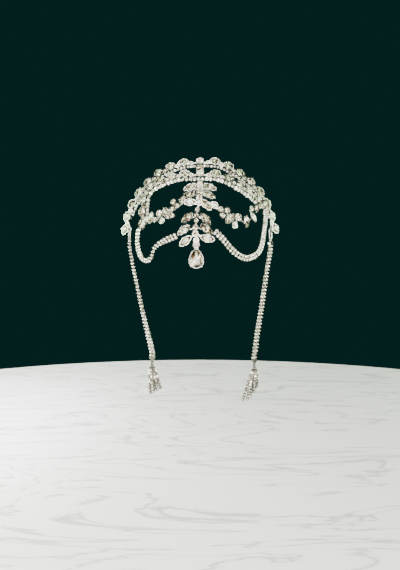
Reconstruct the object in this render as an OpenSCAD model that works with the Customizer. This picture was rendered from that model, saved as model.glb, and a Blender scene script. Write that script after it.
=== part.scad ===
// Bridal headpiece: two rhinestone arcs over the crown, a leafed centre spine with a pear drop,
// draped swags on the brow, and a cup-chain with a tassel at each side of the face.
// The origin is the crown of the wearer's head, +Z is up, the face looks along -Y, and +X is
// on the right as the face is seen.

/* [Head] */
// Half width of the head that the piece is worn on
head_half_width = 77; // [72:1:84]
// Half depth of that head, front to back
head_half_depth = 96; // [90:1:104]
// Height from the middle of that head to its crown
head_half_height = 105; // [98:1:112]

/* [Stones] */
// Length of a leaf stone on the spine
leaf_length = 15.5; // [14:0.5:16]
// Width of a leaf stone on the spine
leaf_width = 7.4; // [6.8:0.2:7.6]
// Length of a marquise stone on the arcs
marquise_length = 11.8; // [11:0.2:12]
// Width of a marquise stone on the arcs
marquise_width = 8; // [7:0.2:8.2]
// Diameter of a round stone on the arcs
round_size = 3.6; // [3:0.2:3.6]
// Diameter of the round stone at the middle of each arc
middle_round_size = 6.6; // [6:0.2:6.8]
// Distance from one stone to the next along an arc
stone_pitch = 8; // [8:0.1:8.4]
// Diameter of the two round stones between the arcs
crown_round_size = 7.8; // [7:0.2:8]

/* [Settings] */
// Thickness of a setting's metal at its rim
cup_wall = 0.6; // [0.5:0.05:0.65]
// Gap between a stone's edge and the metal round it
stone_gap = 0.2; // [0.18:0.01:0.22]
// Width of the soldered wires that join the settings
wire_width = 1.4; // [1.2:0.1:1.6]
// Thickness of those wires
wire_height = 1.0; // [0.8:0.1:1.2]

/* [Chains] */
// Width of the single row of small stones along an arc's lower edge
row_width = 3.2; // [2.8:0.1:3.2]
// Width of the double cup-chain in the swags over the brow
swag_width = 6.4; // [6:0.2:7]
// Width of the cup-chain beside the face
side_chain_width = 7.4; // [6.6:0.2:8]
// Thickness of the cup-chain beside the face
side_chain_height = 3.4; // [3:0.1:3.6]
// Thickness of the double cup-chain in the swags
chain_height = 2.6; // [2.2:0.1:3]
// Width of one strand of a tassel
strand_width = 3.0; // [2.6:0.1:3.2]

/* [Drop] */
// Width of the pear stone
pear_width = 15; // [12:0.5:15.5]
// Height of the pear stone
pear_height = 20; // [17.5:0.5:20.5]
// Depth of the pear's setting
pear_setting_depth = 5; // [4.6:0.2:6]
// Diameter of the pin that the drop swings on
pin_size = 1.2; // [1:0.1:1.4]
// Running gap between the pin and the bail
pin_gap = 0.3; // [0.2:0.05:0.4]

/* [Findings] */
// Diameter of the wire of the rings and links
ring_wire = 1.1; // [0.9:0.1:1.2]
// Diameter of a jump ring, measured on its wire's centre line
ring_size = 5.4; // [5.2:0.1:5.8]
// Width of an end cap where a cup-chain is clamped
cap_width = 7; // [6.4:0.2:7.6]

/* [Hidden] */

// A seat is one place for a stone: where it is and how it faces, the stone's length and width,
// whether its ends are pointed, and the number of the seat that its wire runs to.
FRAME = 0;
LONG = 1;
WIDE = 2;
POINTED = 3;
JOINS = 4;

// A row of a stone table: place, turn in its own plane, length, width, pointed, seat it joins.
PLACE = 0;
TURN = 1;
ROW_LONG = 2;
ROW_WIDE = 3;
ROW_POINTED = 4;
ROW_JOINS = 5;

crown_share = 0.2; // height of a stone above its girdle, for its width
base_share = 0.36; // depth of a stone below its girdle, for its width
table_share = 0.58; // width of a stone's table, for its width
facets = 8;
tip_draw = 0.6; // how sharply a pointed stone draws in to its ends, 1 for the sharpest
rim_drop = 0.15; // how far a setting's rim lies below the stone's girdle
cup_sole = 1; // metal under a stone's point
wire_sink = 0.5; // how far a wire's upper side lies under the stone's point, past stone_gap
arc_lean = 2; // how far the arcs' stones lean towards the front
crown_lean = 0.8; // the same for the two stones between the arcs
arc_turn = 6; // how far a marquise on an arc turns its outer end away from the arc
spine_lean = 0.5; // the same for the spine
swag_lean = 0.35; // the same for the middle swags
drape_lean = 0.15; // the same for the lower swags
link_turn = 45; // rings and links hang at this turn, each square to the next
eye_wire = 0.9; // wire of the small soldered loops
cap_eye = 2.8; // size of the loop on an end cap
cap_rise = 4; // height of an end cap
cap_gap = 0.25; // between a chain's end and its cap
hang_gap = 0.25; // between two wires that hang in each other
link_size = 3.2; // width of a long link, on its wire's centre line
top_link_run = 5; // straight part of the links over the side chains
tassel_link_run = 1.6; // straight part of the links over the tassels
loop_size = 3.2; // size of the six-sided loops soldered to the arc and to the tassels
loop_flat = loop_size / 2 * cos(30); // from a loop's middle to its lowest and highest sides
hang_step = eye_wire / 2 + ring_wire / 2 + hang_gap; // between the two wires at each hold
ring_step = ring_wire + hang_gap; // the same where two round wires hold each other
tassel_head = [7, 4.6, 2.4];
strand_steps = 3;
strand_gap = 1.6; // from one strand to the next under a tassel's bar
strand_bow = [0, -1.5, 0]; // how far a strand bellies out on its way
strand_step_height = 0.6;
cap_brim = 1.2; // height of the straight foot of an end cap
cap_tip = 2; // width of an end cap at its loop
bar_short = 0.9; // how far a cross bar's end stays short of the row of small stones

// Where the drop hangs, and its bail, setting and stone.
pin_place = [-4, -101, -81.5];
bail_width = 4.8;
bail_wall = 0.7;
yoke_wall = 0.9;
yoke_back = 3.6; // from the pin back to the yoke's rear
yoke_rise = 2.8; // from the pin up to the yoke's top
pear_wall = 0.6;
pear_drop = 3.2; // from the pin down to the setting's tip
pear_front = 2; // from the pin forward to the setting's rim
pear_base = 3.6; // depth of the pear below its girdle
pear_crown = 2.2; // height of the pear's table above its girdle
pear_waist = 0.84; // width of the ring of facets between girdle and table, for the girdle's width
pear_step = 0.6; // height of that ring, for the table's height
pear_corners = 16;
pear_point = 0.42; // how much the pear's upper half draws in towards its point
claw_size = 1.3;
claw_height = 3;
claw_out = 0.1; // how far a claw's middle stands outside the setting's wall
claw_foot = 1.6; // from the stone's girdle down to a claw's foot
bail_foot = 4; // width of the bail's front where it meets the setting
bail_overlap = 0.9; // how far that front runs down into the setting
yoke_bridge = 2.5; // depth of the bar that joins the yoke's cheeks
stub = [2, 1.2, 1.1]; // the post that joins that bar to the spine
stub_back = 1.3; // from the post's front to the yoke's rear
pear_outer = [pear_width + 2 * (stone_gap + pear_wall), pear_height + 2 * (stone_gap + pear_wall)];
pear_place = pin_place - [0, pear_front, pear_drop + pear_outer[1] - pear_outer[0] / 2];
outer_offset = 3.4; // from an arc's centre line to its large stones
round_tuck = 2.6; // how much nearer to that line its small round stones sit
row_offset = 3.6; // from an arc's centre line to its row of small stones
row_depth = 1.6; // the same, below the stones' girdles

// Centre lines of the two arcs, from the left end to the right end.
back_arc_path = [[-88, -4, -67], [-84.5, -6, -50], [-78.5, -8, -37], [-66.5, -11, -20], [-46.5, -15, -1.5],
    [-24, -17, 8], [0, -18, 11], [24, -17, 9], [47, -15, -3], [64.5, -12, -18], [75.5, -9, -32],
    [82.8, -6, -50], [89.2, -4, -70]];
front_arc_path = [[-63, -43, -67], [-65, -37, -54], [-65, -31, -44], [-65, -26, -35],
    [-63, -22, -26], [-58, -22, -19], [-48, -28, -13], [-34, -36, -8], [-17, -40, -5], [0, -42, -5],
    [17, -40, -5], [31, -38, -9], [46, -33, -17], [59, -25, -25], [69, -18.3, -33], [75, -16, -42]];

// Centre lines of the lower swags: x, y, z, and the turn of the chain out of the head's surface.
lower_left_path = [[-25.2, -93, -71.1, 15], [-36, -88, -76, 35], [-44, -83.5, -80, 55],
    [-49.5, -80, -84.5, 85], [-52.5, -78, -90.5, 110], [-54.5, -76, -96, 90],
    [-59.5, -71, -100, 45], [-65.5, -62, -98, 10], [-69.5, -54.5, -92, 0], [-72, -46, -82, 0],
    [-72.2, -42, -74.5, 0], [-70.9, -38.7, -65.2, 0]];
lower_right_path = [[15.5, -95, -66, 0], [24, -94, -74, 0], [35, -91, -87, 0], [44, -86, -94, 0],
    [52, -79, -97, 0], [61, -69, -95, 0], [68, -59, -89, 0], [72, -49, -78, 0], [75, -36, -65, 0],
    [77, -25, -53, 0], [77, -18.2, -45.5, 0]];

// Centre lines of the chains beside the face: x, y, z, and the turn of the chain about its run.
side_left_path = [[-85, -6, -82, 80], [-85, -6, -88, 80], [-83, -7, -100, 80],
    [-78, -8, -126, 75], [-71, -10, -160, 65], [-64, -12, -190, 50], [-59, -14, -211, 35],
    [-58, -14, -216, 30], [-58, -14, -221, 30]];
side_right_path = [[85, -6, -85, 55], [85, -6, -91, 55], [83, -7, -104, 55], [79, -8, -130, 52],
    [75, -10, -160, 50], [70, -12, -190, 48], [67, -14, -213, 45], [66, -14, -219, 45],
    [66, -14, -224, 45]];
last_row = 8; // the row of each path at its lower end

// Where the strands of each tassel end.
tassel_left_ends = [[-61, -15, -268], [-57, -18, -266], [-54, -12, -265], [-51, -17, -263],
    [-47, -14, -262]];
tassel_right_ends = [[51, -14, -277], [57, -18, -275], [61, -12, -273], [65, -17, -266],
    [69, -14, -261]];

// The two round stones between the arcs.
crown_places = [[0, -24.4, 5.8], [0, -33.8, 1.8]];

// The stones of the spine: its rounds from the top down, and its leaves in pairs, left and right.
spine_rounds_table = [
    [[0, -46.7, -12], 0, 5.4, 5.4, false, 0],
    [[0, -53, -15], 0, 5.4, 5.4, false, 0],
    [[0, -60, -19], 0, 5.4, 5.4, false, 1],
    [[0, -66, -24], 0, 5.4, 5.4, false, 2],
    [[-1, -72, -30], 0, 5.4, 5.4, false, 3],
    [[-1, -78, -36], 0, 4.6, 4.6, false, 4],
    [[-3, -83, -43], 0, 4.2, 4.2, false, 5],
    [[-4, -87, -49], 0, 4.2, 4.2, false, 6],
    [[-4, -91, -55], 0, 4.2, 4.2, false, 7],
    [[-5, -95, -62], 0, 5.4, 5.4, false, 8],
    [[-5, -98, -69], 0, 5.4, 5.4, false, 9],
    [[-4, -101, -76], 0, 5, 5, false, 10]];
leaf_table = [
    [[-11, -61, -18], 28, leaf_length, leaf_width, true, 2],
    [[11, -61, -18], -28, leaf_length, leaf_width, true, 2],
    [[-11, -70, -26], 20, leaf_length, leaf_width, true, 3],
    [[10, -70, -27], -32, leaf_length, leaf_width, true, 3],
    [[-11, -79, -35], 0, 13, leaf_width, true, 5],
    [[7, -79, -38], -50, leaf_length, leaf_width, true, 5],
    [[-14, -88, -52], 42, leaf_length, leaf_width, true, 7],
    [[6, -91, -53], -49, leaf_length, leaf_width, true, 7],
    [[-18, -92, -65], 41, leaf_length, leaf_width, true, 9],
    [[7, -95, -64], -43, leaf_length, leaf_width, true, 9],
    [[-16, -97, -77], 41, leaf_length, leaf_width, true, 10],
    [[8, -100, -74], -12, leaf_length, leaf_width, true, 10]];

// The stones of the two middle swags, from the spine outwards.
middle_left_table = [
    [[-19.5, -75, -33], 0, 7.4, 7.4, false, 0],
    [[-26, -75, -39], 0, 6, 6, false, 0],
    [[-30, -70, -34.5], 0, 5.8, 5.8, false, 1],
    [[-31.5, -74, -42.6], 0, 5.2, 5.2, false, 1],
    [[-37.6, -73, -47], -54, 14.5, 7.6, true, 3],
    [[-31, -78, -49.6], 0, 5.2, 5.2, false, 4],
    [[-46, -66, -47.4], 0, 7.4, 7.4, false, 4],
    [[-42.4, -73, -55.6], 0, 5.6, 5.6, false, 6],
    [[-51, -64, -54.6], 0, 5.2, 5.2, false, 6],
    [[-56, -57, -52.6], -86, 13, 7, true, 8],
    [[-60.2, -49, -54.6], 0, 5, 5, false, 9],
    [[-64, -41, -55], 0, 4.4, 4.4, false, 10]];
middle_right_table = [
    [[15.5, -79, -38], 0, 7.4, 7.4, false, 0],
    [[23, -79, -42.6], 0, 6, 6, false, 0],
    [[30.4, -76, -44], 0, 6, 6, false, 1],
    [[25, -81, -49.4], 0, 5.8, 5.8, false, 1],
    [[33, -79, -53], 43, 14.5, 7.4, true, 2],
    [[43, -72, -51.6], 0, 7.4, 7.4, false, 4],
    [[38.6, -79, -60.4], 0, 5.8, 5.8, false, 5],
    [[52.4, -65, -56], 75, 13.5, 7, true, 5],
    [[62, -46, -52], -78, 11, 5.8, true, 7],
    [[60, -42, -42], 0, 5.6, 5.6, false, 8],
    [[66, -32, -42], 62, 10, 5.4, true, 9],
    [[70.5, -21, -39.5], 0, 5.4, 5.4, false, 10]];

function unit(v) = v / norm(v);

// Catmull-Rom curve through the rows of a path, with so many steps between two rows.
function curve(a, b, c, d, u) =
    0.5 * (2 * b + (c - a) * u + (2 * a - 5 * b + 4 * c - d) * u * u + (3 * b - a - 3 * c + d) * u * u * u);
function smooth(rows, steps) = let (last = len(rows) - 1) [
    for (i = [0:last - 1])
        for (k = [0:steps - 1])
            curve(rows[max(i - 1, 0)], rows[i], rows[i + 1], rows[min(i + 2, last)], k / steps),
    rows[last]];

// Distance run along a line of points at each of its points, and the point at a given distance.
function runs(points) = [for (i = 0, s = 0; i < len(points);
    s = s + (i + 1 < len(points) ? norm(points[i + 1] - points[i]) : 0), i = i + 1) s];
function point_at(points, run, s) =
    let (passed = [for (k = [0:len(run) - 2]) if (run[k] <= s) k])
    let (i = len(passed) > 0 ? passed[len(passed) - 1] : 0)
    points[i] + (points[i + 1] - points[i]) * (s - run[i]) / (run[i + 1] - run[i]);

// The way out of the head at a point, leaned towards the front.
function outward(p, lean) = unit(unit([p.x / pow(head_half_width, 2), p.y / pow(head_half_depth, 2),
    (p.z + head_half_height) / pow(head_half_height, 2)]) + [0, -lean, 0]);

// A frame at p whose Z axis is out and whose X axis is nearest to along.
function frame_of(p, out, along) =
    let (y = unit(cross(out, along)))
    let (x = cross(y, out))
    [[x.x, y.x, out.x, p.x], [x.y, y.y, out.y, p.y], [x.z, y.z, out.z, p.z], [0, 0, 0, 1]];

// Seats from a table, and seats along an arc from its middle outwards on both sides.
function table_seats(table, lean) = [for (row = table)
    let (out = outward(row[PLACE], lean))
    let (level = unit(cross([0, 0, 1], out)))
    let (upright = cross(out, level))
    [frame_of(row[PLACE], out, level * cos(row[TURN]) + upright * sin(row[TURN])),
        row[ROW_LONG], row[ROW_WIDE], row[ROW_POINTED], row[ROW_JOINS]]];

// The plan of one side of an arc, whose every second stone is a marquise: distance from the middle
// to its first stone, how many stones, and their spacing for stone_pitch.
START = 0;
COUNT = 1;
SPACING = 2;
function arc_frame(points, run, s, offset, turn) =
    let (p = point_at(points, run, s))
    let (along = unit(point_at(points, run, s + 1) - point_at(points, run, s - 1)))
    let (out = outward(p, arc_lean))
    let (across = unit(cross(out, along)))
    frame_of(p + across * offset, out, along * cos(turn) + across * sin(turn));
function arc_stops(middle, side, side_plan) = [for (k = [0:side_plan[COUNT] - 1])
    [middle + side * (side_plan[START] + k * side_plan[SPACING] * stone_pitch), k % 2 == 1, side]];
function arc_seats(path, centre, left_plan, right_plan) =
    let (points = smooth(path, 8))
    let (run = runs(points))
    let (middle = run[8 * centre])
    let (left = arc_stops(middle, -1, left_plan))
    let (right = arc_stops(middle, 1, right_plan))
    let (turned = [for (k = [len(left) - 1:-1:0]) left[k]])
    let (stops = concat(turned, [[middle, false, 0]], right))
    [for (i = [0:len(stops) - 1])
        let (stop = stops[i])
        let (size = stop[2] == 0 ? middle_round_size : round_size)
        let (offset = outer_offset - (stop[1] || stop[2] == 0 ? 0 : round_tuck))
        [arc_frame(points, run, stop[0], offset, stop[1] ? arc_turn * stop[2] : 0),
            stop[1] ? marquise_length : size, stop[1] ? marquise_width : size,
            stop[1], max(i - 1, 0)]];

back_seats = arc_seats(back_arc_path, 6, [10.8, 16, 1], [9.4, 16, 1]);
front_seats = arc_seats(front_arc_path, 9, [9.6, 14, 0.98], [9.6, 12, 1]);
crown_seats = [
    for (place = crown_places)
        [frame_of(place, outward(place, crown_lean), [1, 0, 0]),
            crown_round_size, crown_round_size, false, 0]];
spine_round_seats = table_seats(spine_rounds_table, spine_lean);
leaf_seats = table_seats(leaf_table, spine_lean);
middle_left_seats = table_seats(middle_left_table, swag_lean);
middle_right_seats = table_seats(middle_right_table, swag_lean);

// Outline of a stone in facets corners: round, or with two pointed ends.
function outline(long, wide, height, pointed) = [for (k = [0:facets - 1])
    let (a = 360 / facets * k)
    [long / 2 * cos(a), wide / 2 * sin(a) * (pointed ? pow(abs(sin(a)), tip_draw) : 1), height]];

// Outline of the pear: a circle below and a point above, as seen from the front.
function pear(wide, tall, height, corners) = [for (k = [0:corners - 1])
    let (a = 360 / corners * k)
    [wide / 2 * cos(a) * (sin(a) > 0 ? 1 - pear_point * pow(sin(a), 2) : 1),
        sin(a) > 0 ? (tall - wide / 2) * sin(a) : wide / 2 * sin(a), height]];

function pear_ring(share, height) = pear(pear_width * share, pear_height * share, height, pear_corners);
function pear_flat(wide, tall) = [for (p = pear(wide, tall, 0, pear_corners)) [p.x, p.y]];
function claw_place(k) =
    let (p = pear(pear_outer[0] + 2 * claw_out, pear_outer[1] + 2 * claw_out, 0, pear_corners)[k])
    [p.x, p.y, -claw_foot];

// Heights of the findings over a side chain, each hung in the next, and under it.
function eye_top(chain_top) = chain_top.z + cap_gap + cap_rise + cap_eye;
function link_foot(chain_top) = eye_top(chain_top) - hang_step;
function link_height(chain_top) = link_foot(chain_top) + (top_link_run + link_size) / 2;
function ring_foot(chain_top) = link_foot(chain_top) + top_link_run + link_size - ring_step;
function ring_height(chain_top) = ring_foot(chain_top) + ring_size / 2;
function arc_loop_height(chain_top) = ring_foot(chain_top) + ring_size - hang_step + loop_flat;
function eye_foot(chain_end) = chain_end.z - cap_gap - cap_rise - cap_eye;
function tassel_link_height(chain_end) =
    eye_foot(chain_end) + hang_step - (tassel_link_run + link_size) / 2;
function tassel_loop_height(chain_end) =
    eye_foot(chain_end) + 2 * hang_step - tassel_link_run - link_size - loop_flat;

// Solid through a stack of rings; a ring of one point closes it, and other ends are flat.
module loft(rings) {
    sides = max([for (ring = rings) len(ring)]);
    start = [for (i = 0, n = 0; i < len(rings); n = n + len(rings[i]), i = i + 1) n];
    last = len(rings) - 1;
    function spot(i, k) = start[i] + (len(rings[i]) == 1 ? 0 : k % sides);
    walls = [for (i = [0:last - 1]) for (k = [0:sides - 1]) each
        len(rings[i]) == 1 ? [[spot(i, 0), spot(i + 1, k), spot(i + 1, k + 1)]] :
        len(rings[i + 1]) == 1 ? [[spot(i, k), spot(i + 1, 0), spot(i, k + 1)]] :
        [[spot(i, k), spot(i + 1, k), spot(i + 1, k + 1)],
            [spot(i, k), spot(i + 1, k + 1), spot(i, k + 1)]]];
    foot = len(rings[0]) == 1 ? [] : [[for (k = [0:sides - 1]) spot(0, k)]];
    head = len(rings[last]) == 1 ? [] : [[for (k = [sides - 1:-1:0]) spot(last, k)]];
    polyhedron(points = [for (ring = rings) each ring], faces = concat(foot, walls, head));
}

// A cut stone: a table, a ring of crown facets, and a pointed base. Its girdle is at height 0.
module cut_stone(long, wide, pointed) {
    hull() loft([[[0, 0, -base_share * wide]],
        outline(long, wide, 0, pointed),
        outline(long * table_share, wide * table_share, crown_share * wide, pointed)]);
}

// The open cup that a stone sits in.
module cup(long, wide, pointed) {
    inner = 2 * stone_gap;
    outer = inner + 2 * cup_wall;
    depth = base_share * wide;
    loft([[[0, 0, -depth - stone_gap - cup_sole]],
        outline(long + outer, wide + outer, -rim_drop, pointed),
        outline(long + inner, wide + inner, -rim_drop, pointed),
        [[0, 0, -depth - stone_gap]]]);
}

// The square end of a wire under a seat.
function wire_depth(seat) = base_share * seat[WIDE] + stone_gap + wire_sink + wire_height / 2;
module wire_end(seat) {
    multmatrix(seat[FRAME])
        translate([0, 0, -wire_depth(seat)])
            cube([wire_width, wire_width, wire_height], center = true);
}

module stones(seats) {
    for (seat = seats)
        multmatrix(seat[FRAME])
            cut_stone(seat[LONG], seat[WIDE], seat[POINTED]);
}

module cups(seats) {
    for (seat = seats)
        multmatrix(seat[FRAME])
            cup(seat[LONG], seat[WIDE], seat[POINTED]);
}

// Wires from each seat to the seat that it joins in the list of hosts.
module wires(seats, hosts) {
    for (seat = seats)
        hull() {
            wire_end(seat);
            wire_end(hosts[seat[JOINS]]);
        }
}

// Short bars from an arc's wire towards its row of small stones.
module cross_bars(seats) {
    for (seat = seats)
        if (seat[POINTED])
            multmatrix(seat[FRAME])
                translate([0, 0, -wire_depth(seat)])
                    hull() {
                        cube([wire_width, wire_width, wire_height], center = true);
                        translate([0, -outer_offset - row_offset + row_width / 2 + bar_short, 0])
                            cube([wire_width, wire_width, wire_height], center = true);
                    }
}

// A flat-sided band swept along a curve; widths lie across it and heights stand out from it.
// Its two ends are square to end_way where that is given.
module band(points, outs, width, height, end_way = undef) {
    last = len(points) - 1;
    loft([for (i = [0:last])
        let (at_end = i == 0 || i == last)
        let (run = points[min(i + 1, last)] - points[max(i - 1, 0)])
        let (along = at_end && !is_undef(end_way) ? end_way : unit(run))
        let (across = unit(cross(outs[i], along)))
        let (out = cross(along, across))
        [for (k = [0:7])
            let (a = 45 * k + 22.5)
            points[i] + across * width / 2 * cos(a) / cos(22.5) + out * height / 2 * sin(a) / cos(22.5)]]);
}

// A small six-sided wire loop, upright, turned about the vertical.
module eye(size, wire, turn) {
    rotate([0, 0, turn])
        for (k = [0:5])
            hull()
                for (a = [60 * k, 60 * k + 60])
                    translate([size / 2 * cos(a), 0, size / 2 * sin(a)])
                        rotate([0, -a, 0])
                            cube([wire, wire, wire * 0.3], center = true);
}

// A round ring of wire, upright, turned about the vertical.
module ring(size, wire, turn) {
    rotate([90, 0, turn])
        rotate_extrude($fn = 48)
            translate([size / 2, 0])
                circle(d = wire, $fn = 20);
}

// A long link of wire: two half rings joined by straight sides, upright, turned the same way.
module long_link(size, straight, wire, turn) {
    rotate([90, 0, turn]) {
        for (end = [0, 180])
            rotate([0, 0, end])
                translate([0, straight / 2, 0])
                    rotate_extrude(angle = 180, $fn = 48)
                        translate([size / 2, 0])
                            circle(d = wire, $fn = 20);
        for (side = [-1, 1])
            translate([side * size / 2, 0, 0])
                rotate([90, 0, 0])
                    cylinder(h = straight, d = wire, center = true, $fn = 20);
    }
}

// The leaf-shaped clamp at the end of a cup-chain, with its loop away from the chain.
module end_cap(facing, turn) {
    rotate([0, 0, facing])
        rotate([90, 0, 0])
            linear_extrude(height = side_chain_height, center = true)
                polygon([[-cap_width / 2, 0], [cap_width / 2, 0], [cap_width / 2, cap_brim],
                    [cap_tip / 2, cap_rise], [-cap_tip / 2, cap_rise], [-cap_width / 2, cap_brim]]);
    translate([0, 0, cap_rise + cap_eye / 2])
        ring(cap_eye, eye_wire, turn);
}

// A strand of a tassel, from its head to its free end, bowed a little on the way.
module strand(from, to) {
    for (k = [0:strand_steps - 1])
        hull()
            for (u = [k / strand_steps, (k + 1) / strand_steps])
                translate(from + (to - from) * u + strand_bow * sin(180 * u))
                    cylinder(h = strand_step_height, d = strand_width, center = true, $fn = 6);
}

// The row of small stones along an arc's lower edge.
module arc_row(path, lean) {
    middle = smooth([for (k = [1:len(path) - 2]) path[k]], 2);
    last = len(middle) - 1;
    outs = [for (p = middle) outward(p, lean)];
    points = [for (i = [0:last])
        let (along = unit(middle[min(i + 1, last)] - middle[max(i - 1, 0)]))
        let (across = unit(cross(outs[i], along)))
        middle[i] - across * row_offset - outs[i] * row_depth];
    band(points, outs, row_width, row_width);
}

module lower_swag(path) {
    rows = smooth(path, 2);
    last = len(rows) - 1;
    points = [for (row = rows) [row.x, row.y, row.z]];
    outs = [for (i = [0:last])
        let (out = outward(points[i], drape_lean))
        let (run = points[min(i + 1, last)] - points[max(i - 1, 0)])
        out * cos(rows[i][3]) + unit(cross(out, run)) * sin(rows[i][3])];
    color("lavender")
        band(points, outs, swag_width, chain_height);
}

module side_chain(path) {
    rows = smooth(path, 2);
    points = [for (row = rows) [row.x, row.y, row.z]];
    outs = [for (row = rows) [sin(row[3]) * sign(row.x), -cos(row[3]), 0]];
    color("lavender")
        band(points, outs, side_chain_width, side_chain_height, [0, 0, -1]);
}

// The loop under the end of the back arc, with its wire to a seat.
module arc_loop(chain_top, seat) {
    place = [chain_top.x, chain_top.y, arc_loop_height(chain_top)];
    translate(place)
        eye(loop_size, eye_wire, -link_turn);
    hull() {
        wire_end(seat);
        translate(place + [0, 0, loop_flat])
            cube([eye_wire, eye_wire, eye_wire], center = true);
    }
}

module back_arc_frame() {
    color("gainsboro") {
        cups(back_seats);
        wires(back_seats, back_seats);
        cross_bars(back_seats);
        arc_loop(side_left_path[0], back_seats[1]);
        arc_loop(side_right_path[0], back_seats[len(back_seats) - 2]);
    }
}

module back_arc_stones() {
    color("lavender") stones(back_seats);
}

module back_arc_row() {
    color("lavender") arc_row(back_arc_path, arc_lean);
}

module front_arc_frame() {
    color("gainsboro") {
        cups(front_seats);
        wires(front_seats, front_seats);
        cross_bars(front_seats);
    }
}

module front_arc_stones() {
    color("lavender") stones(front_seats);
}

module front_arc_row() {
    color("lavender") arc_row(front_arc_path, arc_lean);
}

module crown_link_frame() {
    color("gainsboro") {
        cups(crown_seats);
        wires(crown_seats, crown_seats);
    }
}

module crown_link_stones() {
    color("lavender") stones(crown_seats);
}

module spine_frame() {
    color("gainsboro") {
        cups(spine_round_seats);
        wires(spine_round_seats, spine_round_seats);
        cups(leaf_seats);
        wires(leaf_seats, spine_round_seats);
    }
}

module spine_rounds() {
    color("lavender") stones(spine_round_seats);
}

module leaf_stone(number) {
    color("lavender") stones([leaf_seats[number - 1]]);
}

// The pin that the drop swings on, between two cheeks behind the foot of the spine.
module drop_yoke() {
    inside = bail_width / 2 + pin_gap;
    color("gainsboro")
        translate(pin_place) {
            rotate([0, 90, 0])
                cylinder(h = 2 * inside + yoke_wall, d = pin_size, center = true, $fn = 32);
            for (side = [-1, 1])
                translate([side * (inside + yoke_wall / 2) - yoke_wall / 2, -pin_size, -pin_size])
                    cube([yoke_wall, pin_size + yoke_back, pin_size + yoke_rise]);
            translate([-inside, yoke_back - yoke_bridge, yoke_rise - yoke_wall])
                cube([2 * inside, yoke_bridge, yoke_wall]);
            translate([-stub.x / 2, yoke_back - stub_back, yoke_rise - yoke_wall])
                cube([stub.x, stub.y, yoke_wall + stub.z]);
        }
}

// The bail, its tapered front and the open setting of the pear, with four claws.
module drop_setting() {
    bore = pin_size / 2 + pin_gap;
    eye_out = bore + bail_wall;
    color("gainsboro") {
        translate(pin_place)
            difference() {
                union() {
                    rotate([0, 90, 0])
                        cylinder(h = bail_width, r = eye_out, center = true, $fn = 40);
                    translate([0, -bore, 0])
                        rotate([90, 0, 0])
                            linear_extrude(height = bail_wall)
                                polygon([[-bail_width / 2, 0],
                                    [-bail_foot / 2, -pear_drop - bail_overlap],
                                    [bail_foot / 2, -pear_drop - bail_overlap],
                                    [bail_width / 2, 0]]);
                }
                rotate([0, 90, 0])
                    cylinder(h = bail_width + 1, r = bore, center = true, $fn = 40);
            }
        translate(pear_place)
            rotate([90, 0, 0]) {
                difference() {
                    translate([0, 0, -pear_setting_depth])
                        linear_extrude(height = pear_setting_depth)
                            polygon(pear_flat(pear_outer[0], pear_outer[1]));
                    translate([0, 0, -pear_base - 2 * stone_gap])
                        linear_extrude(height = pear_setting_depth)
                            polygon(pear_flat(pear_width + 2 * stone_gap, pear_height + 2 * stone_gap));
                }
                for (k = [2, 6, 10, 14])
                    translate(claw_place(k))
                        cylinder(h = claw_height, d = claw_size, $fn = 16);
            }
    }
}

module drop_stone() {
    color("lavender")
        translate(pear_place)
            rotate([90, 0, 0])
                hull() loft([[[0, 0, -pear_base]],
                    pear_ring(1, 0),
                    pear_ring(pear_waist, pear_crown * pear_step),
                    pear_ring(table_share, pear_crown)]);
}

module side_ring(chain_top) {
    color("gainsboro")
        translate([chain_top.x, chain_top.y, ring_height(chain_top)])
            ring(ring_size, ring_wire, link_turn);
}

module side_link(chain_top) {
    color("gainsboro")
        translate([chain_top.x, chain_top.y, link_height(chain_top)])
            long_link(link_size, top_link_run, ring_wire, -link_turn);
}

module top_cap(chain_top) {
    color("gainsboro")
        translate([chain_top.x, chain_top.y, chain_top.z + cap_gap])
            end_cap(sign(chain_top.x) * chain_top[3], link_turn);
}

module bottom_cap(chain_end) {
    color("gainsboro")
        translate([chain_end.x, chain_end.y, chain_end.z - cap_gap])
            mirror([0, 0, 1])
                end_cap(sign(chain_end.x) * chain_end[3], link_turn);
}

module tassel_link(chain_end) {
    color("gainsboro")
        translate([chain_end.x, chain_end.y, tassel_link_height(chain_end)])
            long_link(link_size, tassel_link_run, ring_wire, -link_turn);
}

// A tassel: a loop and a bar, and five strands of cup-chain that hang from the bar.
module tassel(chain_end, ends) {
    loop = [chain_end.x, chain_end.y, tassel_loop_height(chain_end)];
    top = loop - [0, 0, loop_flat + tassel_head.z / 2];
    color("lavender") {
        translate(loop)
            eye(loop_size, eye_wire, link_turn);
        translate(top)
            cube(tassel_head, center = true);
        for (k = [0:4])
            strand(top + [strand_gap * (k - 2), strand_gap / 2 * (k % 2 == 0 ? 1 : -1), 0], ends[k]);
    }
}

module middle_swag_frame(seats) {
    color("gainsboro") {
        cups(seats);
        wires(seats, seats);
    }
}

module middle_swag_stones(seats) {
    color("lavender") stones(seats);
}

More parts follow.
